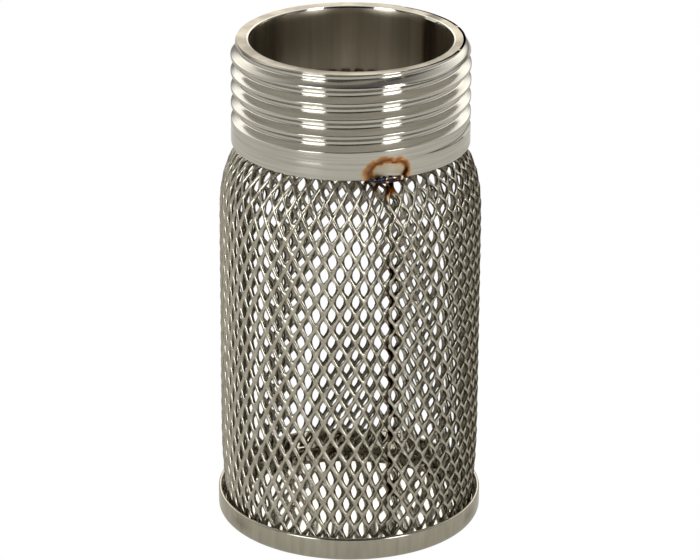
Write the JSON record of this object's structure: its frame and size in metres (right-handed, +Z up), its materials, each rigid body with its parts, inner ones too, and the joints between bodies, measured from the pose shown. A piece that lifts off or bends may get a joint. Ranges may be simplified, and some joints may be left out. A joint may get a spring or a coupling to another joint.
{
  "type": "foot valve suction strainer",
  "caption": "Cylindrical suction strainer for a foot valve: threaded nipple, rolled expanded-metal basket with a lap seam, and a closed pressed bottom cap.",
  "frame": {"origin": "on the axis, at the underside of the bottom cap", "axes": "+Z runs up the axis towards the threaded end; -Y is the front, and the lap seam is a little to the right of it, towards +X"},
  "size_m": [0.0376, 0.0376, 0.071],
  "materials": {
    "turned_steel": "bright turned stainless steel with fine circumferential tool marks",
    "expanded_mesh": "satin expanded stainless sheet, warm grey, brown heat tint along the seam",
    "pressed_cap": "bright cold-rolled stainless sheet, pressed",
    "weld_metal": "unpickled weld with straw, brown and blue heat tint"
  },
  "bodies": {
    "root": {"threaded_nipple": "turned_steel", "mesh_sleeve": "expanded_mesh", "bottom_cap": "pressed_cap", "neck_weld_1": "weld_metal", "neck_weld_2": "weld_metal", "neck_weld_3": "weld_metal", "cap_weld_1": "weld_metal", "cap_weld_2": "weld_metal", "cap_weld_3": "weld_metal", "seam_weld_01": "weld_metal", "seam_weld_02": "weld_metal", "seam_weld_03": "weld_metal", "seam_weld_04": "weld_metal", "seam_weld_05": "weld_metal", "seam_weld_06": "weld_metal", "seam_weld_07": "weld_metal", "seam_weld_08": "weld_metal", "seam_weld_09": "weld_metal"}
  },
  "joints": []
}
